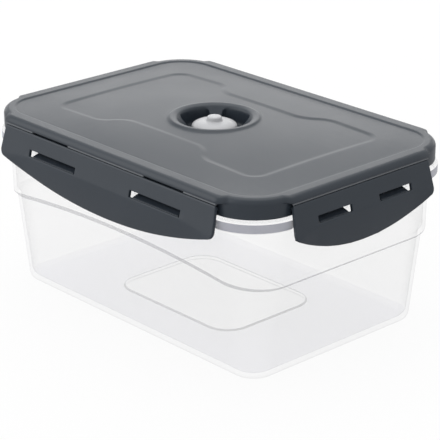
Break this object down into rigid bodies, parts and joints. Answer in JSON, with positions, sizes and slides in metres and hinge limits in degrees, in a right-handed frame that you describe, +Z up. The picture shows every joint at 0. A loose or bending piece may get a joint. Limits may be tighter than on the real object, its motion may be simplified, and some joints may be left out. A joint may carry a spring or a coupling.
{
  "type": "vacuum food canister",
  "caption": "Rectangular clear food canister with a grey locking lid, hinged side flaps, silicone seal and a pull-up vacuum valve in a scooped well.",
  "frame": {"origin": "under the middle of the base, on the surface it stands on", "axes": "+X along the long side, +Y along the short side, +Z up"},
  "size_m": [0.2308, 0.163, 0.1074],
  "materials": {
    "clear_plastic": "clear moulded polypropylene, slightly milky",
    "grey_plastic": "satin moulded polypropylene",
    "silicone": "matt silicone"
  },
  "bodies": {
    "box": {"box": "clear_plastic"},
    "lid": {"lid": "grey_plastic", "lid_seal": "silicone", "hinge_film_front": "grey_plastic", "hinge_film_right": "grey_plastic", "hinge_film_back": "grey_plastic", "hinge_film_left": "grey_plastic"},
    "valve": {"vacuum_valve": "silicone"},
    "flap_front": {"lock_flap_front": "grey_plastic"},
    "flap_right": {"lock_flap_right": "grey_plastic"},
    "flap_back": {"lock_flap_back": "grey_plastic"},
    "flap_left": {"lock_flap_left": "grey_plastic"}
  },
  "joints": [
    {"name": "lid_lift", "type": "slide", "parent": "box", "child": "lid", "axis": [0, 0, 1], "range_m": [0, 0.06]},
    {"name": "valve_pull", "type": "slide", "parent": "lid", "child": "valve", "axis": [0, 0, 1], "range_m": [0, 0.0025]},
    {"name": "flap_front_swing", "type": "hinge", "parent": "lid", "child": "flap_front", "pos_m": [0, -0.0776, 0.1], "axis": [-1, 0, 0], "range_deg": [0, 110]},
    {"name": "flap_right_swing", "type": "hinge", "parent": "lid", "child": "flap_right", "pos_m": [0.1115, 0, 0.1], "axis": [0, -1, 0], "range_deg": [0, 110]},
    {"name": "flap_back_swing", "type": "hinge", "parent": "lid", "child": "flap_back", "pos_m": [0, 0.0776, 0.1], "axis": [1, 0, 0], "range_deg": [0, 110]},
    {"name": "flap_left_swing", "type": "hinge", "parent": "lid", "child": "flap_left", "pos_m": [-0.1115, 0, 0.1], "axis": [0, 1, 0], "range_deg": [0, 110]}
  ]
}
